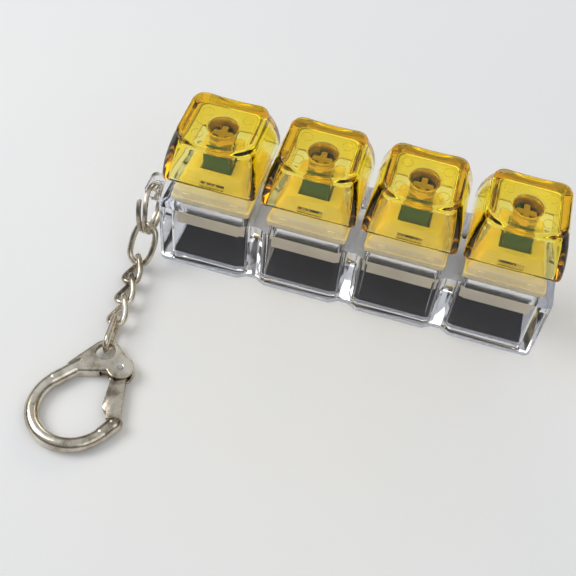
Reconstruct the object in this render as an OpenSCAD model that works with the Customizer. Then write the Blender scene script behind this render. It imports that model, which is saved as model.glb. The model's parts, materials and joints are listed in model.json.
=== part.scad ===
// Four-key finger exerciser on a keychain: a clear case, four push keys and a clasp.
// Millimetres. Origin: centre of the case's underside. +X runs along the keys,
// the fronts of the keys face -Y, and +Z is up. Everything rests on z = 0.

/* [Row of keys] */
// Distance from one key to the next
key_pitch = 19.05; // [19.05:0.05:20]
// How far a key travels
key_travel = 4; // [3:0.1:4]

/* [Case] */
// Front-to-back depth of the case
case_depth = 20.6; // [19.6:0.1:24]
// Height of the case from the table to its deck
case_h = 15; // [14.5:0.1:20]
// Thickness of the deck that holds the switches
deck_t = 1.5; // [1.2:0.1:1.6]
// Inside width of one cell, along the row
cell_w = 14.6; // [14.6:0.1:15.4]
// Inside depth of one cell, front to back
cell_d = 14.6; // [14.6:0.1:17]
// Corner radius of the case, seen from above
case_r = 1.3; // [0.8:0.1:2]
// Depth of the shallow notch between two cells
notch_depth = 1.1; // [0.6:0.1:1.4]
// Width of that notch at the surface
notch_w = 5.6; // [4:0.1:7]

/* [Base] */
// Thickness of the clear base plate
base_t = 1; // [0.8:0.1:1.5]
// Height of the raised blocks that plug into the cells
plug_h = 0.6; // [0.4:0.1:2]
// Thickness of the dark pad in each cell
pad_t = 0.4; // [0.3:0.1:0.8]

/* [Switch] */
// Side of the square cut-out in the deck
cutout = 14; // [14:0.05:14.1]
// Side of the flange that rests on the deck
flange = 15.6; // [15.2:0.1:15.8]
// Height of the switch above the deck
switch_h = 6.6; // [6.4:0.1:6.6]
// Depth of the housing below the deck's top
below_deck = 5.8; // [5:0.1:5.8]
// Height of the stem's cross above the switch
cross_h = 3.6; // [3.4:0.1:3.6]

/* [Keycap] */
// Side of the keycap at its skirt
cap_w = 18; // [17.6:0.1:18.2]
// Width of the keycap's top
cap_top_w = 14.5; // [13:0.1:15]
// Depth of the keycap's top, front to back
cap_top_d = 12.4; // [11.5:0.1:13]
// Height of the keycap at the middle of its top edge
cap_h = 10; // [9.4:0.1:11]
// Height of the skirt above the deck at rest
cap_lift = 6; // [5.8:0.1:6.4]
// Wall thickness at the skirt
cap_wall = 1.2; // [1:0.05:1.3]
// Depth of the dish in the top
dish_depth = 1; // [0.6:0.1:1.2]

/* [Keychain] */
// Diameter of the chain's wire
wire_d = 1.15; // [1:0.05:1.15]
// Outside diameter of the split ring
ring_d = 10.4; // [10.2:0.1:10.6]
// Thickness of the clasp
clasp_t = 2.5; // [2.4:0.1:2.6]

/* [Hidden] */
$fn = 64;

KEYS = 4;
eps = 0.01;
gap = 0.15;
row_len = KEYS * key_pitch;
cell_floor = base_t + plug_h;
function key_x(i) = (i - (KEYS + 1) / 2) * key_pitch;

// Materials, as colours
CLEAR = [0.86, 0.88, 0.9, 0.35];
MILKY = [0.93, 0.88, 0.74, 0.8];
AMBER = [0.95, 0.72, 0.05, 0.6];
GREEN = [0.1, 0.3, 0.16];
BLACK = [0.05, 0.05, 0.06];
NICKEL = [0.72, 0.69, 0.65];
BRASS = [0.8, 0.62, 0.3];

// Switch sizes that hang together
flange_t = 1;
housing_w = 14.8;
housing_straight = 1.6;
housing_top_w = 10.8;
housing_top_d = 10;
housing_wall = 1.1;
base_w = 13.5;
base_floor_t = 1;
post_r = 2;
post_drop = 3.3;
pole_r = 1;
stem_w = 5;
stem_wall_t = 0.6;
stem_wall_y = 2.85;
shoulder_w = 8.6;
shoulder_d = 6.2;
shoulder_h = 2.6;
cap_post_r = 2.75;
cross_arm = 4;
cross_t = 1.2;
roof_t = 1.6;

// Split ring and the eye that it hangs from
ring_c = [-row_len / 2 - 2, -7.9, case_h - 3.8];
ring_yaw = -1;
ring_strip = 0.8;
ring_coil = 0.75;
eye_t = 1.8;
eye_out = 3.85;
eye_front = -7.6;
eye_back = -1.7;
slot_front = -6.05;
slot_back = -2.7;
slot_in = 0.95;
slot_w = 2.2;

// Chain: where the links lie
wire_r = wire_d / 2;
ring_play = 0.5;
ring_side = 0.1;
oval_play = 0.2;
oval_low = 0.1;
eye_play = 0.72;
ring_hook = 44;
oval_len = 9.3;
oval_w = 5.8;
oval_end_r = 2.1;
oval_heading = -100;
curb_len = 7.6;
curb_w = 4.6;
chain_z = curb_w / 2 + 0.05;
CURBS = 3;

// Clasp, in its own axes: the gate runs along -Y and the eye is at the top
clasp_at = [-38.6, -47.4];
clasp_turn = 15;
loop_c = [-0.3, -1];
loop_r = 7.2;
loop_from = 128;
loop_to = 318;
bar_r = clasp_t / 2;
eye_c = [3.3, 10.5];
eye_r = 1.7;
eye_tab_t = 1.1;
pin_c = [6.4, 7.2];
pin_r = 0.45;
knuckle_r = 2.4;
gate_w = 2.4;
gate_t = 1.4;
gate_sheet = 0.3;
gate_end = -3.05;
fork_t = 1.5;

function heading(a) = [cos(a), sin(a), 0];
function unit(v) = v / norm(v);

// The hook point of the oval link on the ring, and where each link starts
ring_in = ring_d / 2 - ring_strip;
ring_h = [-sin(ring_yaw), cos(ring_yaw), 0];
hook_dir = -sin(ring_hook) * ring_h - [0, 0, cos(ring_hook)];
oval_start = ring_c + (ring_in - wire_r - ring_play) * hook_dir + ring_side * heading(ring_yaw);
oval_span = oval_len - wire_d;
oval_drop = oval_start.z - chain_z + oval_low;
oval_run = sqrt(oval_span * oval_span - oval_drop * oval_drop);
oval_end = oval_start + oval_run * heading(oval_heading) - [0, 0, oval_drop];
curb_step = curb_len - 2 * wire_d - gap;

// The chain runs straight from there to the top of the clasp's eye
hook_v = eye_c.y + eye_r - wire_r - eye_play;
clasp_hook = clasp_at + [
    eye_c.x * cos(clasp_turn) - hook_v * sin(clasp_turn),
    eye_c.x * sin(clasp_turn) + hook_v * cos(clasp_turn)
];
chain_run = clasp_hook - [oval_end.x, oval_end.y];
chain_heading = atan2(chain_run.y, chain_run.x);
end_len = norm(chain_run) + wire_d + oval_play - CURBS * curb_step + wire_d;
function link_start(i) =
    [oval_end.x, oval_end.y, chain_z] + (i * curb_step - wire_d - oval_play) * heading(chain_heading);

// ---- shared shapes -------------------------------------------------------

// A rectangle with round corners, made of true arcs
module round_rect(w, d, r) {
    square([w - 2 * r, d], center = true);
    square([w, d - 2 * r], center = true);
    for (sx = [-1, 1], sy = [-1, 1])
        translate([sx * (w / 2 - r), sy * (d / 2 - r)])
            circle(r);
}

module round_plate(w, d, h, r) {
    linear_extrude(h)
        round_rect(w, d, r);
}

// A bar along a path: rings of m points each, joined up, open or closed in a loop
module loft(points, m, closed) {
    n = len(points) / m;
    spans = closed ? n : n - 1;
    sides = [for (k = [0 : spans - 1], j = [0 : m - 1]) each
        let (here = k * m, there = ((k + 1) % n) * m, next = (j + 1) % m)
        let (a = here + j, b = here + next, c = there + j, d = there + next)
        [[a, c, b], [b, c, d]]];
    caps = closed ? [] : [[for (j = [0 : m - 1]) j], [for (j = [m - 1 : -1 : 0]) (n - 1) * m + j]];
    polyhedron(points, concat(sides, caps), convexity = 6);
}

// A round wire of radius r along points p; ups[k] is never along the path at p[k]
function tangent(p, k, closed) =
    let (n = len(p))
    let (a = closed ? (k + n - 1) % n : max(k - 1, 0), b = closed ? (k + 1) % n : min(k + 1, n - 1))
    unit(p[b] - p[a]);
function ring_points(c, t, up, r, m) =
    let (s = unit(cross(up, t)), q = cross(t, s))
    [for (j = [0 : m - 1]) c + r * (cos(360 * j / m) * s + sin(360 * j / m) * q)];

module tube(p, ups, r, m, closed) {
    points = [for (k = [0 : len(p) - 1]) each ring_points(p[k], tangent(p, k, closed), ups[k], r, m)];
    loft(points, m, closed);
}

// A flat link of true arcs, long axis on X, its first end wire at the origin
module flat_link(length, width) {
    mid_r = (width - wire_d) / 2;
    straight = length - width;
    translate([mid_r, 0, 0]) {
        rotate([0, 0, 90])
            rotate_extrude(angle = 180)
                translate([mid_r, 0])
                    circle(wire_r);
        translate([straight, 0, 0])
            rotate([0, 0, -90])
                rotate_extrude(angle = 180)
                    translate([mid_r, 0])
                        circle(wire_r);
        for (s = [-1, 1])
            translate([0, s * mid_r, 0])
                rotate([0, 90, 0])
                    cylinder(r = wire_r, h = straight);
    }
}

// An oval link of four arcs, long axis on X, its first end wire at the origin
module oval_of_arcs(length, width, end_r) {
    end_steps = 16;
    side_steps = 8;
    a = (length - wire_d) / 2;
    b = (width - wire_d) / 2;
    end_x = a - end_r;
    side_y = (end_x * end_x - (b - end_r) * (b - end_r)) / (2 * (b - end_r));
    side_r = b + side_y;
    join = atan2(side_y, end_x);
    end_arc = [for (k = [0 : end_steps - 1]) let (t = join * (2 * k / end_steps - 1))
        [end_x + end_r * cos(t), end_r * sin(t), 0]];
    side_arc = [for (k = [0 : side_steps - 1]) let (t = join + (180 - 2 * join) * k / side_steps)
        [side_r * cos(t), side_r * sin(t) - side_y, 0]];
    half = concat(end_arc, side_arc);
    path = [for (s = [1, -1], p = half) [a, 0, 0] + s * p];
    tube(path, [for (p = path) [0, 0, 1]], wire_r, 14, true);
}

// A curb link: an oval that turns a quarter about its long axis, X.
// It stands upright at the origin and lies flat at its far end.
function signed_pow(v, e) = sign(v) * pow(abs(v), e);
module curb_link(length, width) {
    steps = 44;
    a = (length - wire_d) / 2;
    b = (width - wire_d) / 2;
    squareness = 0.8;
    t = [for (k = [0 : steps - 1]) 360 * k / steps];
    x = [for (v = t) a * signed_pow(cos(v), squareness)];
    w = [for (v = t) b * signed_pow(sin(v), squareness)];
    turn = [for (v = x) 45 - 45 * v / a];
    path = [for (k = [0 : steps - 1]) [x[k] + a, w[k] * cos(turn[k]), w[k] * sin(turn[k])]];
    ups = [for (v = turn) [0, -sin(v), cos(v)]];
    tube(path, ups, wire_r, 10, true);
}

// ---- case ----------------------------------------------------------------

module notch_outline() {
    valley = 0.85;
    polygon([
        [-notch_w / 2, 0.5],
        [-notch_w / 2, 0],
        [-valley, -notch_depth],
        [valley, -notch_depth],
        [notch_w / 2, 0],
        [notch_w / 2, 0.5]
    ]);
}

module case_outline() {
    difference() {
        round_rect(row_len, case_depth, case_r);
        for (i = [1 : KEYS - 1], s = [0, 1])
            rotate([0, 0, 180 * s])
                translate([(i - KEYS / 2) * key_pitch, case_depth / 2])
                    notch_outline();
    }
}

// The eye beside the deck that the split ring passes through
module ring_eye() {
    wall = -row_len / 2;
    corner = 1.2;
    translate([0, 0, case_h - eye_t])
        linear_extrude(eye_t)
            difference() {
                translate([wall, (eye_front + eye_back) / 2])
                    round_rect(2 * eye_out, eye_back - eye_front, corner);
                translate([wall - slot_in - slot_w / 2, (slot_front + slot_back) / 2])
                    round_rect(slot_w, slot_back - slot_front, 0.35);
                translate([wall + 1, eye_front - 1])
                    square([eye_out, eye_back - eye_front + 2]);
            }
}

module case_shell() {
    cell_h = case_h - deck_t - base_t;
    color(CLEAR) {
        difference() {
            translate([0, 0, base_t])
                linear_extrude(case_h - base_t)
                    case_outline();
            for (i = [1 : KEYS])
                translate([key_x(i), 0, 0]) {
                    translate([0, 0, base_t - eps])
                        round_plate(cell_w, cell_d, cell_h + eps, 0.8);
                    translate([-cutout / 2, -cutout / 2, base_t])
                        cube([cutout, cutout, case_h]);
                }
        }
        ring_eye();
    }
}

module base_cover() {
    fit = 0.1;
    color(CLEAR) {
        linear_extrude(base_t)
            case_outline();
        for (i = [1 : KEYS])
            translate([key_x(i), 0, base_t - eps])
                round_plate(cell_w - 2 * fit, cell_d - 2 * fit, plug_h + eps, 0.7);
    }
}

module floor_pad(i) {
    margin = 0.3;
    color(BLACK)
        translate([key_x(i), 0, cell_floor])
            round_plate(cell_w - 2 * margin, cell_d - 2 * margin, pad_t, 0.5);
}

// ---- switch, each module drawn about its own key's axis, deck top at z = 0 ----

module at_key(i) {
    translate([key_x(i), 0, case_h])
        children();
}

module housing_base(i) {
    collar = cutout - 0.1;
    low_w = base_w - 0.8;
    step_z = -deck_t - 0.1;
    inside = base_w - 2 * housing_wall;
    clip_w = 3.6;
    clip_t = 0.3;
    color(MILKY) at_key(i) difference() {
        union() {
            round_plate(flange, flange, flange_t, 0.6);
            translate([-collar / 2, -collar / 2, step_z])
                cube([collar, collar, flange_t - step_z]);
            translate([-base_w / 2, -base_w / 2, -3.4])
                cube([base_w, base_w, 3.4]);
            translate([-low_w / 2, -low_w / 2, -below_deck])
                cube([low_w, low_w, below_deck]);
            translate([0, 0, -below_deck - post_drop])
                cylinder(r = post_r, h = post_drop + eps);
            translate([-clip_w / 2, -collar / 2 - clip_t, step_z - 0.9])
                cube([clip_w, collar + 2 * clip_t, 0.85]);
        }
        translate([-inside / 2, -inside / 2, -below_deck + base_floor_t])
            cube([inside, inside, below_deck + flange_t]);
        translate([0, 0, -below_deck - post_drop + 0.4])
            cylinder(r = pole_r + 0.15, h = post_drop + below_deck);
        contact_plate_shape(0.08);
        contact_leaf_shape(0.08);
    }
}

module housing_top(i) {
    straight_top = flange_t + housing_straight;
    inner_w = housing_w - 2 * housing_wall;
    roof_w = housing_top_w - 2 * housing_wall;
    roof_d = housing_top_d - 2 * housing_wall;
    roof_z = switch_h - housing_wall;
    leg_x = 4.7;
    lens_w = 4.8;
    lens_h = 1.2;
    lens_z = 4.1;
    color(MILKY) at_key(i) difference() {
        union() {
            hull() {
                translate([0, 0, flange_t])
                    round_plate(housing_w, housing_w, housing_straight, 0.6);
                translate([0, 0, switch_h - eps])
                    round_plate(housing_top_w, housing_top_d, eps, 0.8);
            }
            for (sx = [-1, 1], sy = [-1, 1])
                translate([sx * leg_x - 0.7, sy * (housing_w / 2) - 0.25, flange_t])
                    cube([1.4, 0.5, housing_straight - 0.3]);
        }
        hull() {
            translate([0, 0, flange_t - eps])
                round_plate(inner_w, inner_w, housing_straight, 0.4);
            translate([0, 0, roof_z])
                round_plate(roof_w, roof_d, eps, 0.4);
        }
        translate([-stem_w / 2 - 0.6, -stem_wall_y - stem_wall_t - 0.25, flange_t])
            cube([stem_w + 1.2, 2 * (stem_wall_y + stem_wall_t + 0.25), switch_h]);
        translate([-lens_w / 2, -housing_w / 2, lens_z])
            cube([lens_w, housing_w / 2 - stem_wall_y - 1, lens_h]);
    }
}

module contact_plate_shape(extra) {
    t = 0.25 + 2 * extra;
    translate([2.54 - 1.4 - extra, 5.08 - t / 2, -below_deck + base_floor_t - extra])
        cube([2.8 + 2 * extra, t, 3.6 + extra]);
    translate([2.54 - 0.4 - extra, 5.08 - t / 2, -below_deck - post_drop])
        cube([0.8 + 2 * extra, t, post_drop + base_floor_t + 1]);
}

module contact_leaf_shape(extra) {
    t = 0.25 + 2 * extra;
    foot_z = -below_deck + base_floor_t;
    leaf_y = 4.1;
    translate([-3.81 - 1 - extra, leaf_y - t / 2, foot_z - extra])
        cube([4.4 + 2 * extra, t, 3.8 + extra]);
    translate([-3.81 - 0.4 - extra, 2.54 - t / 2, foot_z - extra])
        cube([0.8 + 2 * extra, leaf_y - 2.54 + t, t]);
    translate([-3.81 - 0.4 - extra, 2.54 - t / 2, -below_deck - post_drop])
        cube([0.8 + 2 * extra, t, post_drop + base_floor_t + t - extra]);
}

module contact_plate(i) {
    color(BRASS) at_key(i)
        contact_plate_shape(0);
}

module contact_leaf(i) {
    color(BRASS) at_key(i)
        contact_leaf_shape(0);
}

// The coil stands between the housing's floor and the stem's underside
module return_spring(i) {
    turns = 5.5;
    per_turn = 16;
    coil_wire = 0.15;
    coil_r = 1.8;
    low = -below_deck + base_floor_t + coil_wire + 0.02;
    high = switch_h - housing_wall - 0.05 - shoulder_h - coil_wire - 0.02;
    count = turns * per_turn;
    path = [for (k = [0 : count])
        [coil_r * cos(360 * k / per_turn), coil_r * sin(360 * k / per_turn), low + (high - low) * k / count]];
    color(NICKEL) at_key(i)
        tube(path, [for (k = [0 : count]) [0, 0, 1]], coil_wire, 6, false);
}

module cross_shape(grow, h) {
    for (a = [0, 90])
        rotate([0, 0, a])
            translate([-cross_arm / 2 - grow, -cross_t / 2 - grow, 0])
                cube([cross_arm + 2 * grow, cross_t + 2 * grow, h]);
}

// Shoulder, walls before and behind the cross, the cross, two rails and the pole
module key_stem(i) {
    shoulder_top = switch_h - housing_wall - 0.05;
    shoulder_low = shoulder_top - shoulder_h;
    seat = switch_h - 0.2;
    rail_low = key_travel - below_deck + base_floor_t + 0.4;
    pole_low = key_travel - below_deck - post_drop + 0.7;
    stem_d = 2 * (stem_wall_y + stem_wall_t);
    color(GREEN) at_key(i) {
        translate([-shoulder_w / 2, -shoulder_d / 2, shoulder_low])
            cube([shoulder_w, shoulder_d, shoulder_h]);
        translate([-stem_w / 2, -stem_d / 2, shoulder_top - eps])
            cube([stem_w, stem_d, seat - shoulder_top + eps]);
        for (s = [-1, 1])
            translate([-stem_w / 2, s * (stem_wall_y + stem_wall_t / 2) - stem_wall_t / 2, seat - eps])
                cube([stem_w, stem_wall_t, cross_h + 0.2 + eps]);
        translate([0, 0, seat - eps])
            cross_shape(0, cross_h + 0.2 + eps);
        for (s = [-1, 1])
            translate([s * (shoulder_w / 2 - 0.5) - 0.5, -1, rail_low])
                cube([1, 2, shoulder_low - rail_low + eps]);
        translate([0, 0, pole_low])
            cylinder(r = pole_r, h = shoulder_low - pole_low + eps);
    }
}

// ---- keycap --------------------------------------------------------------

// Outline of the cap at its top: its front and back edges bow outwards
module cap_top_outline(w, d, r, bow) {
    for (sx = [-1, 1], sy = [-1, 1])
        translate([sx * (w / 2 - r), sy * (d / 2 - r - bow)])
            circle(r, $fn = 32);
    for (sy = [-1, 1])
        translate([0, sy * (d / 2 - r)])
            circle(r, $fn = 32);
}

module cap_body(w, d, top_w, top_d, h, top_r) {
    shift = -0.2;
    tilt = 1.9;
    bulge = 0.75;
    hull() {
        linear_extrude(0.6)
            round_rect(w, d, 1.1, $fn = 32);
        translate([0, shift / 2, h / 2])
            linear_extrude(0.1)
                round_rect((w + top_w) / 2 + bulge, (d + top_d) / 2 + bulge, 1.8, $fn = 32);
        translate([0, shift, h - 0.55])
            rotate([tilt, 0, 0])
                linear_extrude(0.1)
                    hull() cap_top_outline(top_w, top_d, top_r, 0.8);
        translate([0, shift, h - 0.1])
            rotate([tilt, 0, 0])
                linear_extrude(0.1)
                    hull() cap_top_outline(top_w - 0.8, top_d - 0.8, top_r - 0.2, 0.8);
    }
}

module keycap(i) {
    dish_half = cap_top_w / 2 - 0.9;
    dish_r = (dish_half * dish_half + dish_depth * dish_depth) / (2 * dish_depth);
    roof = cap_h - dish_depth - roof_t;
    inner_w = cap_w - 2 * cap_wall;
    cross_depth = cross_h + 0.25;
    post_low = switch_h - 0.15 - cap_lift;
    color(AMBER) at_key(i) translate([0, 0, cap_lift]) {
        difference() {
            cap_body(cap_w, cap_w, cap_top_w, cap_top_d, cap_h, 2.6);
            translate([0, 0, -eps])
                cap_body(inner_w, inner_w, cap_top_w - 2.8, cap_top_d - 2.8, roof, 1.6);
            translate([0, 0, cap_h + dish_r - dish_depth])
                rotate([91.9, 0, 0])
                    cylinder(r = dish_r, h = 2 * cap_w, center = true, $fn = 160);
        }
        difference() {
            translate([0, 0, post_low])
                cylinder(r = cap_post_r, h = roof - post_low + 0.4);
            translate([0, 0, post_low - eps])
                cross_shape(0.02, cross_depth);
        }
    }
}

// ---- keychain ------------------------------------------------------------

// Two turns of flat strip. It steps across from one turn to the other at the
// front, and its first end stands off to the side.
module split_ring() {
    outer = ring_d / 2;
    first = -60;
    last = 626;
    step = 7;
    half = ring_coil / 2;
    beside = half + 0.035;
    stand_off = 0.95;
    settled = 30;
    cross_from = 270;
    cross_to = 330;
    function aside(a) =
        a < settled ? -beside - stand_off * pow((settled - a) / (settled - first), 1.5)
        : -beside + 2 * beside * max(0, min(1, (a - cross_from) / (cross_to - cross_from)));
    points = [for (a = [first : step : last]) let (x = aside(a)) each [
        [x - half, -ring_in * cos(a), -ring_in * sin(a)],
        [x + half, -ring_in * cos(a), -ring_in * sin(a)],
        [x + half, -outer * cos(a), -outer * sin(a)],
        [x - half, -outer * cos(a), -outer * sin(a)]
    ]];
    color(NICKEL)
        translate(ring_c)
            rotate([0, 0, ring_yaw])
                loft(points, 4, false);
}

module oval_link() {
    tip = asin(oval_drop / oval_span);
    color(NICKEL)
        translate(oval_start)
            rotate([0, tip, oval_heading])
                oval_of_arcs(oval_len, oval_w, oval_end_r);
}

module chain_link(i) {
    color(NICKEL)
        translate(link_start(i - 1))
            rotate([0, 0, chain_heading])
                curb_link(curb_len, curb_w);
}

// The last link stands upright and passes through the clasp's eye
module end_link() {
    color(NICKEL)
        translate(link_start(CURBS))
            rotate([0, 0, chain_heading])
                rotate([90, 0, 0])
                    flat_link(end_len, curb_w);
}

module in_clasp() {
    translate([clasp_at.x, clasp_at.y, 0])
        rotate([0, 0, clasp_turn])
            children();
}

// The flat head that joins the arm, the eye and the knuckle
module clasp_head() {
    edge = 0.4;
    spots = [[-1.9, 7.3, bar_r], [eye_c.x, eye_c.y, 2.8], [pin_c.x, pin_c.y + 0.9, 1.7]];
    hull()
        for (s = spots) {
            translate([s.x, s.y, edge])
                cylinder(r = s.z, h = clasp_t - 2 * edge, $fn = 32);
            translate([s.x, s.y, 0])
                cylinder(r = s.z - edge, h = clasp_t, $fn = 32);
        }
    translate([pin_c.x, pin_c.y, 0])
        cylinder(r = knuckle_r, h = clasp_t);
}

module clasp_body() {
    arm_r = bar_r + 0.1;
    arm_len = 5.4;
    tip_len = 2.6;
    tip_r = 1.45;
    lap = 0.3;
    wire_z = bar_r + 0.17;
    seat_v = gate_end - 0.2;
    lip_u = pin_c.x + gate_w / 2 + 0.2;
    arm_at = loop_c + loop_r * [cos(loop_from), sin(loop_from)];
    tip_at = loop_c + loop_r * [cos(loop_to), sin(loop_to)];
    tip_end = tip_at + tip_len * [-sin(loop_to), cos(loop_to)];
    color(NICKEL) in_clasp() difference() {
        union() {
            translate([loop_c.x, loop_c.y, wire_z])
                rotate([0, 0, loop_from])
                    rotate_extrude(angle = loop_to - loop_from)
                        translate([loop_r, 0])
                            circle(bar_r);
            translate([arm_at.x, arm_at.y, wire_z])
                rotate([0, 90, loop_from - 90])
                    translate([0, 0, -lap])
                        cylinder(r = arm_r, h = arm_len + lap);
            translate([tip_at.x, tip_at.y, wire_z])
                rotate([0, 90, loop_to + 90])
                    translate([0, 0, -lap])
                        cylinder(r = arm_r, h = tip_len + lap);
            translate([tip_end.x, tip_end.y, tip_r])
                sphere(tip_r);
            clasp_head();
        }
        translate([eye_c.x, eye_c.y, -1])
            cylinder(r = eye_r, h = clasp_t + 2);
        translate([eye_c.x - 5, eye_c.y - 0.4, -1])
            cube([10, 5, clasp_t - eye_tab_t + 1]);
        translate([pin_c.x, pin_c.y, (clasp_t - fork_t) / 2])
            cylinder(r = 1.65, h = fork_t);
        translate([pin_c.x - 3.6, pin_c.y - 6, (clasp_t - fork_t) / 2])
            cube([7, 6, fork_t]);
        translate([pin_c.x, pin_c.y, -1])
            cylinder(r = pin_r, h = clasp_t + 2);
        translate([lip_u - 4, seat_v, -1])
            cube([4, 4, clasp_t + 3]);
    }
}

module clasp_gate() {
    bottom = (clasp_t - gate_t) / 2;
    left = pin_c.x - gate_w / 2;
    nub_v = -0.4;
    nub_r = 1.4;
    nub_u = left + 0.5;
    color(NICKEL) in_clasp() difference() {
        translate([0, 0, bottom])
            linear_extrude(gate_t) {
                translate(pin_c)
                    circle(gate_w / 2);
                translate([left, gate_end])
                    square([gate_w, pin_c.y - gate_end]);
                polygon([pin_c - [gate_w / 2, 0], [nub_u - nub_r, nub_v], [nub_u, nub_v], pin_c]);
                translate([nub_u, nub_v])
                    circle(nub_r);
            }
        translate([left + gate_sheet, gate_end + gate_sheet, bottom + gate_sheet])
            cube([gate_w, pin_c.y - gate_end + gate_w, gate_t - 2 * gate_sheet]);
        translate([pin_c.x, pin_c.y, -1])
            cylinder(r = pin_r + 0.05, h = clasp_t + 2);
    }
}

module gate_pin() {
    color(NICKEL) in_clasp()
        translate([pin_c.x, pin_c.y, 0])
            cylinder(r = pin_r, h = clasp_t);
}

// Two turns about the pin and a leg that lies in the gate's channel
module gate_spring() {
    spring_r = 0.7;
    spring_wire = 0.1;
    per_turn = 16;
    count = 2 * per_turn;
    low = clasp_t / 2 - 0.22;
    rise = 0.44;
    coil = [for (k = [0 : count])
        [pin_c.x + spring_r * cos(360 * k / per_turn), pin_c.y + spring_r * sin(360 * k / per_turn),
         low + rise * k / count]];
    leg = [for (k = [1 : 4]) [pin_c.x + spring_r, pin_c.y - k, low + rise]];
    path = concat(coil, leg);
    color(NICKEL) in_clasp()
        tube(path, [for (p = path) [0, 0, 1]], spring_wire, 6, false);
}

// ---- what is drawn ---------------------------------------------------------

case_shell();
base_cover();
for (i = [1 : KEYS]) {
    floor_pad(i);
    housing_base(i);
    housing_top(i);
    contact_plate(i);
    contact_leaf(i);
    return_spring(i);
    key_stem(i);
    keycap(i);
}
split_ring();
oval_link();
for (i = [1 : CURBS])
    chain_link(i);
end_link();
clasp_body();
clasp_gate();
gate_pin();
gate_spring();
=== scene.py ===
import json
import math

import bmesh
import bpy
from mathutils import Matrix, Vector


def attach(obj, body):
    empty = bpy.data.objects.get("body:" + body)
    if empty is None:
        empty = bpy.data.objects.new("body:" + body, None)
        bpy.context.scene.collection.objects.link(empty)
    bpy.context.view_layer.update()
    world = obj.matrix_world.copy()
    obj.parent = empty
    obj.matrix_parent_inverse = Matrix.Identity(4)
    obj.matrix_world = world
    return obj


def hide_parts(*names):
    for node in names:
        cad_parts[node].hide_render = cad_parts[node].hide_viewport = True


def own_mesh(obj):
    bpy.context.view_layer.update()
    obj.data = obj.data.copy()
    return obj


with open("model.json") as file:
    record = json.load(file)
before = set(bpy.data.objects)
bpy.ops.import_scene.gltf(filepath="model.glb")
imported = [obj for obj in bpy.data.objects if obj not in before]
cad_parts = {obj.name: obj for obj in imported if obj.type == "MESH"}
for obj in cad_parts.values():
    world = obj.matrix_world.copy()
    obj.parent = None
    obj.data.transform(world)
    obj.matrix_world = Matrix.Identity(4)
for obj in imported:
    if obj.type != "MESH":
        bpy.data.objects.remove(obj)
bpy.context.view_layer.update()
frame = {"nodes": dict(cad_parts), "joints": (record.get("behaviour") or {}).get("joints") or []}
NODES = frame["nodes"]
MM = 0.001
PITCH = 19.05
KEYS = (1, 2, 3, 4)
DECK = 15.0             # top of the case
JOINT_AT = {joint["name"]: Vector(joint["pos_m"]) / MM for joint in frame["joints"]}


def key_x(i):
    return (i - 2.5) * PITCH


# ---------------------------------------------------------------- materials

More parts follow.
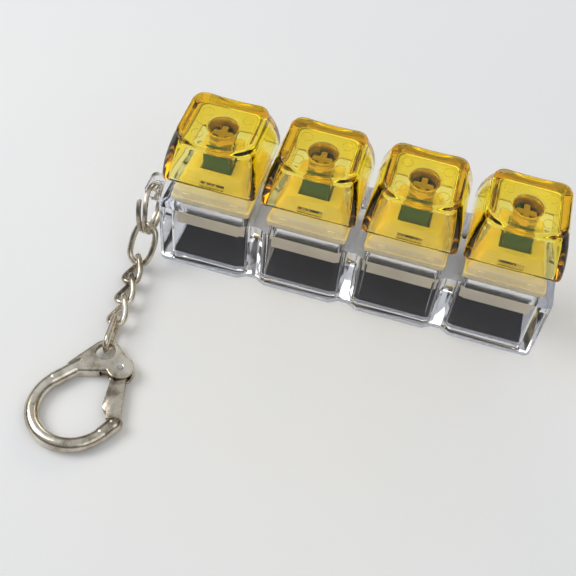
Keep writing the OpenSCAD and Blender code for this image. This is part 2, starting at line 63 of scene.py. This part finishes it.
class Shader:
    """A material with a Principled shader and short helpers for its nodes."""

    def __init__(self, name, **sockets):
        self.mat = bpy.data.materials.new(name)
        self.mat.use_nodes = True
        self.tree = self.mat.node_tree
        self.tree.nodes.clear()
        self.out = self.add("ShaderNodeOutputMaterial")
        self.bsdf = self.add("ShaderNodeBsdfPrincipled")
        self.link(self.bsdf.outputs[0], self.out.inputs["Surface"])
        for key, value in sockets.items():
            self.bsdf.inputs[key.replace("_", " ")].default_value = value
        self.place = self.add("ShaderNodeTexCoord").outputs["Object"]

    def add(self, kind, **props):
        node = self.tree.nodes.new(kind)
        for key, value in props.items():
            setattr(node, key, value)
        return node

    def link(self, a, b):
        self.tree.links.new(a, b)

    def noise(self, per_mm, detail=3.0, rough=0.5, stretch=None):
        source = self.place
        if stretch:
            mapping = self.add("ShaderNodeMapping")
            mapping.inputs["Scale"].default_value = stretch
            self.link(source, mapping.inputs["Vector"])
            source = mapping.outputs[0]
        node = self.add("ShaderNodeTexNoise")
        node.inputs["Scale"].default_value = per_mm / MM
        node.inputs["Detail"].default_value = detail
        node.inputs["Roughness"].default_value = rough
        self.link(source, node.inputs["Vector"])
        return node.outputs[0]

    def ramp(self, source, stops):
        node = self.add("ShaderNodeValToRGB")
        ramp = node.color_ramp
        while len(ramp.elements) < len(stops):
            ramp.elements.new(0.5)
        for element, (place, value) in zip(ramp.elements, stops):
            element.position = place
            element.color = value if len(value) == 4 else (*value, 1)
        self.link(source, node.inputs[0])
        return node.outputs[0]

    def spread(self, source, low, high, socket):
        node = self.add("ShaderNodeMapRange")
        node.inputs["From Min"].default_value = 0.3
        node.inputs["From Max"].default_value = 0.7
        node.inputs["To Min"].default_value = low
        node.inputs["To Max"].default_value = high
        self.link(source, node.inputs["Value"])
        self.link(node.outputs[0], self.bsdf.inputs[socket])

    def colour(self, source, stops):
        self.link(self.ramp(source, stops), self.bsdf.inputs["Base Color"])

    def bump(self, source, depth_mm, strength=1.0):
        node = self.add("ShaderNodeBump")
        node.inputs["Distance"].default_value = depth_mm * MM
        node.inputs["Strength"].default_value = strength
        self.link(source, node.inputs["Height"])
        self.link(node.outputs[0], self.bsdf.inputs["Normal"])

    def frosted_glow(self, name, colour, transmission, roughness):
        """Where the mesh's attribute is 1 the surface scatters, in the colour given; on the caps that colour
        is a painted golden glow.
        """
        share = self.add("ShaderNodeAttribute", attribute_name=name).outputs["Fac"]
        for socket, value in (("Base Color", (*colour, 1)), ("Transmission Weight", transmission),
                              ("Roughness", roughness)):
            target = self.bsdf.inputs[socket]
            kind = "RGBA" if socket == "Base Color" else "FLOAT"
            mix = self.add("ShaderNodeMix", data_type=kind)
            a, b = [i for i in mix.inputs if i.enabled and i.name in ("A", "B")]
            if target.is_linked:
                self.link(target.links[0].from_socket, a)
            else:
                a.default_value = target.default_value
            b.default_value = value
            self.link(share, mix.inputs[0])
            self.link([o for o in mix.outputs if o.enabled][0], target)

    def absorbs(self, colour, per_metre):
        node = self.add("ShaderNodeVolumeAbsorption")
        node.inputs["Color"].default_value = (*colour, 1)
        node.inputs["Density"].default_value = per_metre
        self.link(node.outputs[0], self.out.inputs["Volume"])

    def lets_light_in(self, tint):
        """Shadow rays pass, tinted, so what is inside is lit through the wall."""
        clear = self.add("ShaderNodeBsdfTransparent")
        clear.inputs[0].default_value = (*tint, 1)
        mix = self.add("ShaderNodeMixShader")
        path = self.add("ShaderNodeLightPath")
        self.link(path.outputs["Is Shadow Ray"], mix.inputs[0])
        self.link(self.bsdf.outputs[0], mix.inputs[1])
        self.link(clear.outputs[0], mix.inputs[2])
        self.link(mix.outputs[0], self.out.inputs["Surface"])


def acrylic():
    s = Shader("clear_acrylic", Transmission_Weight=1.0, IOR=1.49, Specular_Tint=(0.4, 0.4, 0.45, 1))
    s.colour(s.noise(0.12), [(0.35, (0.88, 0.88, 0.92)), (0.65, (0.95, 0.95, 0.97))])
    s.spread(s.noise(0.6, 4), 0.02, 0.10, "Roughness")
    s.bump(s.noise(0.35, 2), 0.012)
    s.lets_light_in((0.93, 0.94, 0.96))
    return s.mat


# painted light: the base is made partly diffuse and bluish white, standing in for light carried along the
# clear slab from behind
def frosted_painted_light_acrylic():
    s = Shader("frosted_base_painted_light", Transmission_Weight=0.72, IOR=1.49, Specular_Tint=(0.6, 0.6, 0.65, 1))
    s.colour(s.noise(0.12), [(0.35, (0.89, 0.91, 0.97)), (0.65, (0.95, 0.96, 1.0))])
    s.spread(s.noise(0.6, 4), 0.10, 0.22, "Roughness")
    s.bump(s.noise(0.35, 2), 0.012)
    s.lets_light_in((0.90, 0.91, 0.94))
    return s.mat


def amber():
    s = Shader("amber_cap", Transmission_Weight=1.0, IOR=1.49)
    s.colour(s.noise(0.1), [(0.3, (0.99, 0.945, 0.74)), (0.7, (1.0, 0.965, 0.80))])
    s.spread(s.noise(0.5, 4), 0.02, 0.075, "Roughness")
    s.bump(s.noise(0.3, 2), 0.012)
    # painted glow: the frosted zone round the post gets a deeper gold than the cap, standing in for light
    # reflected inside the post
    s.frosted_glow("frost_and_glow", (1.0, 0.88, 0.45), 0.72, 0.22)
    s.absorbs((0.995, 0.925, 0.0), 620.0)
    s.lets_light_in((0.99, 0.96, 0.72))
    return s.mat


def milky():
    s = Shader("milky_housing", Transmission_Weight=0.45, IOR=1.5)
    s.colour(s.noise(0.15), [(0.3, (0.95, 0.88, 0.70)), (0.7, (0.99, 0.95, 0.82))])
    s.spread(s.noise(0.8, 4), 0.08, 0.2, "Roughness")
    s.bump(s.noise(0.9, 2), 0.006)
    s.lets_light_in((0.86, 0.84, 0.76))
    return s.mat


def green():
    s = Shader("green_stem", IOR=1.5)
    s.colour(s.noise(0.5), [(0.3, (0.005, 0.075, 0.065)), (0.7, (0.008, 0.105, 0.09))])
    s.spread(s.noise(1.0, 4), 0.30, 0.45, "Roughness")
    s.bump(s.noise(2.0, 2), 0.01)
    return s.mat


# painted shade: near black with almost no reflection, standing in for the dark seen under each switch
def painted_shade_black():
    s = Shader("black_pad_painted_shade", IOR=1.12)
    s.colour(s.noise(0.25), [(0.3, (0.002, 0.002, 0.003)), (0.7, (0.007, 0.008, 0.012))])
    s.spread(s.noise(0.5, 4), 0.25, 0.5, "Roughness")
    s.bump(s.noise(0.8, 3), 0.01)
    return s.mat


def nickel(name, stretch=None):
    s = Shader(name, Metallic=1.0)
    s.colour(s.noise(0.22, 5, 0.6), [(0.34, (0.24, 0.20, 0.15)), (0.48, (0.58, 0.52, 0.42)),
                                     (0.66, (0.80, 0.74, 0.63))])
    s.spread(s.noise(0.9, 5, 0.6, stretch), 0.14, 0.30, "Roughness")
    s.bump(s.noise(0.4, 4), 0.035)
    return s.mat


def brass():
    s = Shader("contact_brass", Metallic=1.0)
    s.colour(s.noise(0.8), [(0.3, (0.62, 0.42, 0.16)), (0.7, (0.80, 0.58, 0.28))])
    s.spread(s.noise(1.2, 4), 0.15, 0.3, "Roughness")
    s.bump(s.noise(1.0, 3), 0.008)
    return s.mat


def steel():
    s = Shader("spring_steel", Metallic=1.0)
    s.colour(s.noise(0.8), [(0.3, (0.45, 0.45, 0.46)), (0.7, (0.62, 0.62, 0.63))])
    s.spread(s.noise(1.5, 4, 0.5, (1, 1, 6)), 0.2, 0.35, "Roughness")
    s.bump(s.noise(1.2, 3), 0.006)
    return s.mat


def table():
    s = Shader("pale_table", Roughness=0.75)
    s.colour(s.noise(0.01, 3), [(0.3, (0.90, 0.90, 0.895)), (0.7, (0.92, 0.92, 0.915))])
    s.bump(s.noise(0.4, 4), 0.02)
    return s.mat


CLEAR, BASE_PAINTED_LIGHT, AMBER, MILKY, GREEN, PAINTED_SHADE_BLACK = acrylic(), frosted_painted_light_acrylic(), amber(), milky(), green(), painted_shade_black()
CHAIN, CLASP = nickel("nickel_chain"), nickel("nickel_clasp", (1, 1, 3))
BRASS, STEEL, TABLE = brass(), steel(), table()


# ---------------------------------------------------------------- mesh helpers

def new_object(name, bm, material):
    mesh = bpy.data.meshes.new(name)
    bm.to_mesh(mesh)
    bm.free()
    mesh.materials.append(material)
    obj = bpy.data.objects.new(name, mesh)
    bpy.context.scene.collection.objects.link(obj)
    return obj


def smooth(obj, angle=35):
    """Smooth shading, sharp where the faces turn by more than angle."""
    mesh = obj.data
    bm = bmesh.new()
    bm.from_mesh(mesh)
    limit = math.radians(angle)
    for f in bm.faces:
        f.smooth = True
    for e in bm.edges:
        e.smooth = not (len(e.link_faces) == 2 and e.calc_face_angle(0) > limit)
    bm.to_mesh(mesh)
    bm.free()


def rings_to_mesh(bm, rings, closed=False, caps=True):
    """Joins rings of equally many points. An open run gets a cap at each end, unless caps is off."""
    made = [[bm.verts.new(Vector(p) * MM) for p in ring] for ring in rings]
    m = len(made[0])
    runs = len(made) if closed else len(made) - 1
    for k in range(runs):
        a, b = made[k], made[(k + 1) % len(made)]
        for j in range(m):
            n = (j + 1) % m
            bm.faces.new((a[j], a[n], b[n], b[j]))
    if caps and not closed:
        bm.faces.new(list(reversed(made[0])))
        bm.faces.new(made[-1])
    return made


def fix_normals(bm):
    bmesh.ops.recalc_face_normals(bm, faces=bm.faces[:])


def show(piece, node, body):
    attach(piece, body)
    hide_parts(node)


def set_material(node, material):
    mesh = NODES[node].data
    mesh.materials.clear()
    mesh.materials.append(material)


def refined(node, material, bevel_mm, segments=3, angle=28, shift=None):
    """A copy of a CAD node with its flat faces joined up and its edges rounded."""
    bm = bmesh.new()
    bm.from_mesh(NODES[node].data)
    bmesh.ops.remove_doubles(bm, verts=bm.verts[:], dist=0.002 * MM)
    bmesh.ops.dissolve_limit(bm, angle_limit=math.radians(0.8), verts=bm.verts[:], edges=bm.edges[:])
    if shift:
        for v in bm.verts:
            shift(v)
    sharp = [e for e in bm.edges if len(e.link_faces) == 2 and e.calc_face_angle(0) > math.radians(angle)]
    bmesh.ops.bevel(bm, geom=sharp, offset=bevel_mm * MM, segments=segments, profile=0.5,
                    affect="EDGES", clamp_overlap=True)
    fix_normals(bm)
    obj = new_object(node + "_round", bm, material)
    smooth(obj)
    return obj


# ---------------------------------------------------------------- keycap

def outline(half_w, half_d, corner, bow, per=10):
    """A rounded rectangle whose front and back edges bow outwards, as points from +X, anticlockwise."""
    r = min(corner, half_w - 0.05, half_d - 0.05)
    points = []
    for quarter in range(4):
        sx, sy = ((1, 1), (-1, 1), (-1, -1), (1, -1))[quarter]
        for k in range(per + 1):
            a = math.radians(90 * quarter + 90 * k / per)
            points.append((sx * (half_w - r) + r * math.cos(a), sy * (half_d - r) + r * math.sin(a)))
        nx, ny = ((-1, 1), (-1, -1), (1, -1), (1, 1))[quarter]
        last = points[-1]
        a = math.radians(90 * quarter + 90)
        target = (nx * (half_w - r) + r * math.cos(a), ny * (half_d - r) + r * math.sin(a))
        for k in range(1, per):
            t = k / per
            points.append((last[0] + t * (target[0] - last[0]), last[1] + t * (target[1] - last[1])))
    if bow:
        points = [(x, y + bow * math.copysign(1, y) * max(0, 1 - (x / half_w) ** 2)
                   * min(1, abs(y) / half_d)) for x, y in points]
    return points


CAP_H = 10.0
CAP_FOOT = 6.0          # the cap's lower edge above the deck
CAP_SHIFT = -0.2        # the top leans this far forward
CAP_ROOF = 7.3          # the underside of the cap's roof
TILT = math.radians(1.9)
DISH = 0.9
DISH_HALF = 6.35
# the frosted zone round the post, which is also painted a golden glow
FROST_GLOW_R = 3.3
FROST_GLOW_FROM, FROST_GLOW_TO = 2.6, 6.9


def top_z(x, y):
    dip = DISH * max(0.0, 1 - (x / DISH_HALF) ** 2)
    return CAP_H - 0.02 - dip + (y - CAP_SHIFT) * math.tan(TILT)


def cap_sides(z, inset):
    """Half width, half depth, corner radius and bow of the cap's outside at height z, less inset."""
    share = z / CAP_H
    half_w = 9.0 - 0.0185 * z ** 2 - inset
    half_d = 9.0 - 0.0715 * z ** 1.6 - inset
    return half_w, half_d, max(0.3, 1.1 + 1.7 * share ** 1.5 - inset * 0.6), 1.0 * share ** 3


def keycap_mesh():
    """The cap with its dished top, its hollow and the post with the plus-shaped bore."""
    bm = bmesh.new()
    rings = []
    fillet = 0.8
    foot = 0.25
    for k in range(4):
        a = math.radians(30 * k)
        w, d, r, bow = cap_sides(0, foot * (1 - math.sin(a)))
        rings.append([(x, y, foot * (1 - math.cos(a))) for x, y in outline(w, d, r, bow)])
    steps = 16
    for k in range(1, steps + 1):
        s = k / steps
        z0 = s * (CAP_H - fillet)
        w, d, r, bow = cap_sides(z0, 0)
        ring = []
        for x, y in outline(w, d, r, bow):
            high = top_z(x, y) - fillet
            z = foot + (high - foot) * s
            ring.append((x, y + CAP_SHIFT * s, z))
        rings.append(ring)
    for k in range(1, 7):
        a = math.radians(90 * k / 6)
        w, d, r, bow = cap_sides(CAP_H - fillet, fillet * (1 - math.cos(a)))
        rings.append([(x, y + CAP_SHIFT, top_z(x, y) - fillet * (1 - math.sin(a)))
                      for x, y in outline(w, d, r, bow)])
    w, d, r, bow = cap_sides(CAP_H - fillet, fillet)
    for k in range(1, 13):
        s = 1 - k / 13
        rings.append([(x, y + CAP_SHIFT, top_z(x, y)) for x, y in
                      [(px * s, py * s) for px, py in outline(w, d, r, bow)]])
    outer = rings_to_mesh(bm, rings, caps=False)
    centre = bm.verts.new(Vector((0, CAP_SHIFT, top_z(0, CAP_SHIFT))) * MM)
    last = outer[-1]
    for j in range(len(last)):
        bm.faces.new((last[j], last[(j + 1) % len(last)], centre))

    wall, thicker_up = 1.25, 0.35
    rim, corner = 0.2, 0.9
    inner = []
    for k in range(3):
        a = math.radians(45 * k)
        w, d, r, bow = cap_sides(0, wall - rim * (1 - math.sin(a)))
        inner.append([(x, y, rim * (1 - math.cos(a))) for x, y in outline(w, d, r, 0)])
    for k in range(1, 13):
        s = k / 12
        z = s * (CAP_ROOF - corner)
        w, d, r, bow = cap_sides(z + corner * s, wall + thicker_up * s)
        inner.append([(x, y + CAP_SHIFT * s, max(z, rim)) for x, y in outline(w, d, r, bow)])
    w0, d0, r0, bow0 = cap_sides(CAP_ROOF, wall + thicker_up)
    for k in range(1, 6):
        a = math.radians(90 * k / 5)
        i = corner * (1 - math.cos(a))
        inner.append([(x, y + CAP_SHIFT, CAP_ROOF - corner * (1 - math.sin(a)))
                      for x, y in outline(w0 - i, d0 - i, r0, bow0)])
    edge = outline(w0 - corner, d0 - corner, r0, bow0)

    post_r, flare = 2.75, 0.5
    for k in range(1, 9):
        t = k / 8
        ring = []
        for x, y in edge:
            a = math.atan2(y, x)
            cx, cy = (post_r + flare) * math.cos(a), (post_r + flare) * math.sin(a)
            ring.append((x + t * (cx - x), y + CAP_SHIFT * (1 - t) + t * (cy - y), CAP_ROOF))
        inner.append(ring)
    angles = [math.atan2(y, x) for x, y in edge]
    for k in range(1, 5):
        a = math.radians(90 * k / 4)
        r = post_r + flare - flare * math.sin(a)
        z = CAP_ROOF - flare * (1 - math.cos(a))
        inner.append([(r * math.cos(t), r * math.sin(t), z) for t in angles])
    low = 0.45
    for z in (5.5, 4.0, 2.5, low + 0.15):
        inner.append([(post_r * math.cos(t), post_r * math.sin(t), z) for t in angles])
    inner.append([((post_r - 0.15) * math.cos(t), (post_r - 0.15) * math.sin(t), low) for t in angles])

    arm, half_arm, bore_top = 2.02, 0.62, 4.3

    def cross(t, grow):
        """The plus-shaped bore's edge in direction t, grown by that much all round."""
        long, thin = arm + grow, half_arm + grow
        c, s = max(abs(math.cos(t)), 1e-6), max(abs(math.sin(t)), 1e-6)
        return max(min(long / c, thin / s), min(thin / c, long / s))

    for grow, z in ((0.12, low), (0.0, low + 0.12), (0.0, 2.5), (0.0, bore_top)):
        inner.append([(cross(t, grow) * math.cos(t), cross(t, grow) * math.sin(t), z) for t in angles])
    inside = rings_to_mesh(bm, inner, caps=False)
    top = bm.verts.new(Vector((0, 0, bore_top)) * MM)
    last = inside[-1]
    for j in range(len(last)):
        bm.faces.new((last[j], last[(j + 1) % len(last)], top))
    a, b = outer[0], inside[0]
    for j in range(len(a)):
        n = (j + 1) % len(a)
        bm.faces.new((a[j], a[n], b[n], b[j]))
    fix_normals(bm)
    return bm


def pin_marks(bm):
    """Four faint round ridges under the roof, left by the moulding pins."""
    pin_x, pin_y, pin_r, sides = 4.1, 3.2, 1.1, 32
    for sx in (-1, 1):
        for sy in (-1, 1):
            rings = []
            for k in range(8):
                a = math.tau * k / 8
                r, z = pin_r + 0.07 * math.cos(a), CAP_ROOF - 0.03 + 0.06 * math.sin(a)
                rings.append([(sx * pin_x + r * math.cos(math.tau * j / sides),
                               sy * pin_y + CAP_SHIFT + r * math.sin(math.tau * j / sides), z)
                              for j in range(sides)])
            rings_to_mesh(bm, rings, closed=True)


def in_frost_and_glow(place):
    """Whether a point is in the frosted zone round the post, which is painted a golden glow, in the cap's
    own millimetres.
    """
    return math.hypot(place.x, place.y) < FROST_GLOW_R and FROST_GLOW_FROM < place.z < FROST_GLOW_TO


def build_keycaps():
    for i in KEYS:
        bm = keycap_mesh()
        pin_marks(bm)
        fix_normals(bm)
        # 1 in the frosted zone round the post, where the cap is painted a golden glow
        frost_and_glow = [1.0 if in_frost_and_glow(v.co / MM) else 0.0 for v in bm.verts]
        bmesh.ops.translate(bm, verts=bm.verts[:], vec=Vector((key_x(i), 0, DECK + CAP_FOOT)) * MM)
        cap = new_object(f"keycap_{i}_shape", bm, AMBER)
        cap.data.attributes.new("frost_and_glow", "FLOAT", "POINT").data.foreach_set("value", frost_and_glow)
        smooth(cap, 50)
        show(cap, f"keycap_{i}", f"key_{i}")


# ---------------------------------------------------------------- case and switches

PLATE_T = 1.0           # the base plate's flat part
PAD_LIFT = 0.03         # keeps the pad's foot off the block under it


def below_shell(v):
    """Drops the base plate's top by a hair, so that it doesn't share a plane with the shell's foot."""
    if abs(v.co.z - PLATE_T * MM) < 0.02 * MM:
        v.co.z -= 0.04 * MM


def build_return_spring(i):
    """The spring's own copy, with a mesh of its own."""
    node = f"return_spring_{i}"
    bm = bmesh.new()
    bm.from_mesh(NODES[node].data)
    spring = new_object(node + "_coil", bm, STEEL)
    smooth(spring, 60)
    show(spring, node, "case")
    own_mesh(spring)


def build_case():
    shell = refined("case_shell", CLEAR, 0.22)
    show(shell, "case_shell", "case")
    # the base plate's bluish white is painted light
    base = refined("base_cover", BASE_PAINTED_LIGHT, 0.18, shift=below_shell)
    show(base, "base_cover", "case")
    for i in KEYS:
        # the floor pads' near-black is painted shade under each switch
        pad = refined(f"floor_pad_{i}", PAINTED_SHADE_BLACK, 0.08, 2)
        pad.location.z += PAD_LIFT * MM
        show(pad, f"floor_pad_{i}", "case")
        top = refined(f"housing_top_{i}", MILKY, 0.22)
        show(top, f"housing_top_{i}", "case")
        low = refined(f"housing_base_{i}", MILKY, 0.12, 2)
        show(low, f"housing_base_{i}", "case")
        stem = refined(f"key_stem_{i}", GREEN, 0.1, 2)
        show(stem, f"key_stem_{i}", f"key_{i}")
        set_material(f"contact_plate_{i}", BRASS)
        set_material(f"contact_leaf_{i}", BRASS)
        build_return_spring(i)


# ---------------------------------------------------------------- keychain

WIRE = 1.15 / 2
WIRE_PLAY = 0.15        # between the wires of two curb links
OVAL_PLAY = 0.2         # between the oval link and the first curb link
CURB_LEN = 7.6
CURB_W = 4.6
CURB_STEP = CURB_LEN - 4 * WIRE - WIRE_PLAY
CHAIN_Z = CURB_W / 2 + 0.05
OVAL_END = JOINT_AT["link_1_swing"].xy
HOOK = JOINT_AT["clasp_swing"].xy
RING_C = Vector((-40.1, -7.9, 11.2))
RING_YAW = math.radians(-1)


def loop_along(path, ups, section):
    """A closed bar with the given section, as (across, up) pairs, along a path of points."""
    n = len(path)
    rings = []
    for k, (p, up) in enumerate(zip(path, ups)):
        t = (path[(k + 1) % n] - path[(k - 1) % n]).normalized()
        side = up.cross(t).normalized()
        rise = t.cross(side)
        rings.append([p + side * u + rise * v for u, v in section])
    bm = bmesh.new()
    rings_to_mesh(bm, rings, closed=True)
    fix_normals(bm)
    return bm


def wire_section(r, sides=20):
    return [(r * math.cos(math.tau * j / sides), r * math.sin(math.tau * j / sides)) for j in range(sides)]


def build_split_ring():
    """Two turns of flat strip: a first end that stands off, and a step across near the turn's end."""
    first, last, step = -60, 626, 2.5
    settled, cross_from, cross_over = 30, 270, 60
    half, outer, inner = 0.375, 5.2, 4.4
    beside = half + 0.035
    stand_off = 0.95
    cut = 0.1
    rings = []
    for k in range(int((last - first) / step) + 1):
        d = first + k * step
        if d < settled:
            x = -beside - stand_off * ((settled - d) / (settled - first)) ** 1.5
        else:
            x = -beside + 2 * beside * max(0.0, min(1.0, (d - cross_from) / cross_over))
        a = math.radians(d)
        ring = []
        for cx, cr, turn in ((x - half + cut, inner + cut, 180), (x + half - cut, inner + cut, 270),
                             (x + half - cut, outer - cut, 0), (x - half + cut, outer - cut, 90)):
            for j in range(4):
                b = math.radians(turn + 30 * j)
                u, r = cx + cut * math.cos(b), cr + cut * math.sin(b)
                ring.append((u, -r * math.cos(a), -r * math.sin(a)))
        rings.append(ring)
    bm = bmesh.new()
    rings_to_mesh(bm, rings)
    fix_normals(bm)
    place = Matrix.Translation(RING_C * MM) @ Matrix.Rotation(RING_YAW, 4, "Z")
    bmesh.ops.transform(bm, matrix=place, verts=bm.verts[:])
    obj = new_object("split_ring_fine", bm, CHAIN)
    smooth(obj, 50)
    show(obj, "split_ring", "ring")


def build_curb_links():
    run = HOOK - OVAL_END
    turn = math.atan2(run.y, run.x)
    d = run.normalized()
    a, b = (CURB_LEN - 2 * WIRE) / 2, (CURB_W - 2 * WIRE) / 2

    def power(v):
        return math.copysign(abs(v) ** 0.8, v)

    steps = 120
    path, ups = [], []
    for k in range(steps):
        t = math.tau * (k + 0.5) / steps
        x, w = a * power(math.cos(t)), b * power(math.sin(t))
        twist = math.radians(45 - 45 * x / a)
        path.append(Vector((x + a, w * math.cos(twist), w * math.sin(twist))))
        ups.append(Vector((0, -math.sin(twist), math.cos(twist))))
    for i in (1, 2, 3):
        start = OVAL_END + d * ((i - 1) * CURB_STEP - 2 * WIRE - OVAL_PLAY)
        bm = loop_along(path, ups, wire_section(WIRE))
        place = Matrix.Translation(Vector((start.x, start.y, CHAIN_Z))) @ Matrix.Rotation(turn, 4, "Z")
        for v in bm.verts:
            v.co = (place @ (v.co / MM)) * MM
        obj = new_object(f"chain_link_{i}_fine", bm, CHAIN)
        smooth(obj, 60)
        show(obj, f"chain_link_{i}", f"link_{i}")


def cast(node, material, cell, passes):
    """A copy of a CAD node with its corners melted together, as a die casting has."""
    source = NODES[node]
    obj = bpy.data.objects.new(node + "_cast", source.data.copy())
    bpy.context.scene.collection.objects.link(obj)
    obj.matrix_world = source.matrix_world
    remesh = obj.modifiers.new("even", "REMESH")
    remesh.mode = "VOXEL"
    remesh.voxel_size = cell * MM
    soften = obj.modifiers.new("soften", "SMOOTH")
    soften.factor = 0.5
    soften.iterations = passes
    mesh = bpy.data.meshes.new_from_object(obj.evaluated_get(bpy.context.evaluated_depsgraph_get()))
    obj.modifiers.clear()
    obj.data = mesh
    mesh.materials.clear()
    mesh.materials.append(material)
    for f in mesh.polygons:
        f.use_smooth = True
    return obj


def build_chain():
    build_split_ring()
    build_curb_links()
    for node, body in (("oval_link", "oval"), ("end_link", "link_4")):
        link = refined(node, CHAIN, 0.0, 1, 180)
        smooth(link, 60)
        show(link, node, body)
    body = cast("clasp_body", CLASP, 0.13, 8)
    show(body, "clasp_body", "clasp")
    gate = refined("clasp_gate", CLASP, 0.1, 2, 40)
    show(gate, "clasp_gate", "gate")
    set_material("gate_pin", STEEL)
    set_material("gate_spring", STEEL)


# ---------------------------------------------------------------- stage

def area_light(name, place, aim, size, power, colour=(1, 1, 1), size_y=None):
    data = bpy.data.lights.new(name, "AREA")
    data.energy = power
    data.size = size
    data.color = colour
    if size_y:
        data.shape = "RECTANGLE"
        data.size_y = size_y
    obj = bpy.data.objects.new(name, data)
    obj.location = Vector(place) * MM
    obj.rotation_euler = (Vector(aim) - Vector(place)).to_track_quat("-Z", "Y").to_euler()
    bpy.context.scene.collection.objects.link(obj)


def build_stage():
    bm = bmesh.new()
    size = 3000
    steps = 24
    rows = [[bm.verts.new((Vector((-size + 2 * size * j / steps, -size + 2 * size * k / steps, -0.02))) * MM)
             for j in range(steps + 1)] for k in range(steps + 1)]
    for k in range(steps):
        for j in range(steps):
            bm.faces.new((rows[k][j], rows[k][j + 1], rows[k + 1][j + 1], rows[k + 1][j]))
    floor = new_object("table_top", bm, TABLE)

    world = bpy.data.worlds.new("studio")
    bpy.context.scene.world = world
    world.use_nodes = True
    tree = world.node_tree
    tree.nodes.clear()
    out = tree.nodes.new("ShaderNodeOutputWorld")
    back = tree.nodes.new("ShaderNodeBackground")
    coord = tree.nodes.new("ShaderNodeTexCoord")
    split = tree.nodes.new("ShaderNodeSeparateXYZ")
    ramp = tree.nodes.new("ShaderNodeValToRGB")
    shades = ((0.0, (0.40, 0.40, 0.41, 1)), (0.30, (0.06, 0.057, 0.053, 1)), (0.85, (0.62, 0.64, 0.67, 1)))
    for place, shade in shades:
        stop = ramp.color_ramp.elements.new(place)
        stop.color = shade
    ramp.color_ramp.elements.remove(ramp.color_ramp.elements[-1])
    ramp.color_ramp.elements.remove(ramp.color_ramp.elements[0])
    back.inputs["Strength"].default_value = 1.0
    tree.links.new(coord.outputs["Generated"], split.inputs[0])
    tree.links.new(split.outputs["Z"], ramp.inputs[0])
    tree.links.new(ramp.outputs[0], back.inputs["Color"])
    tree.links.new(back.outputs[0], out.inputs["Surface"])

    area_light("key_light", (-330, -40, 330), (0, 0, 10), 0.26, 0.85, (1, 0.99, 0.97))
    area_light("fill_light", (260, -260, 300), (0, -10, 10), 0.30, 0.30, (0.97, 0.98, 1))
    area_light("back_light", (60, 380, 220), (0, 0, 15), 0.40, 0.35, (1, 1, 1), 0.15)


def build_camera():
    data = bpy.data.cameras.new("view")
    data.sensor_width = 36.0
    data.lens = 54.993
    data.shift_x = -0.0729
    data.shift_y = -0.0139
    data.clip_start = 0.005
    data.clip_end = 20.0
    yaw, pitch, roll = 0.1150, -0.8710, 0.1750
    ahead = Vector((-math.sin(yaw), math.cos(yaw), 0))
    side = Vector((math.cos(yaw), math.sin(yaw), 0))
    rise = Vector((0, 0, 1))
    look = ahead * math.cos(pitch) + rise * math.sin(pitch)
    up = -ahead * math.sin(pitch) + rise * math.cos(pitch)
    right = side * math.cos(roll) + up * math.sin(roll)
    top = -side * math.sin(roll) + up * math.cos(roll)
    turn = Matrix((right, top, -look)).transposed().to_4x4()
    obj = bpy.data.objects.new("view", data)
    obj.matrix_world = Matrix.Translation(Vector((9.426, -118.974, 136.963)) * MM) @ turn
    bpy.context.scene.collection.objects.link(obj)
    bpy.context.scene.camera = obj


build_camera()
build_stage()
build_case()
build_keycaps()
build_chain()
bpy.context.scene.view_settings.view_transform = "Standard"
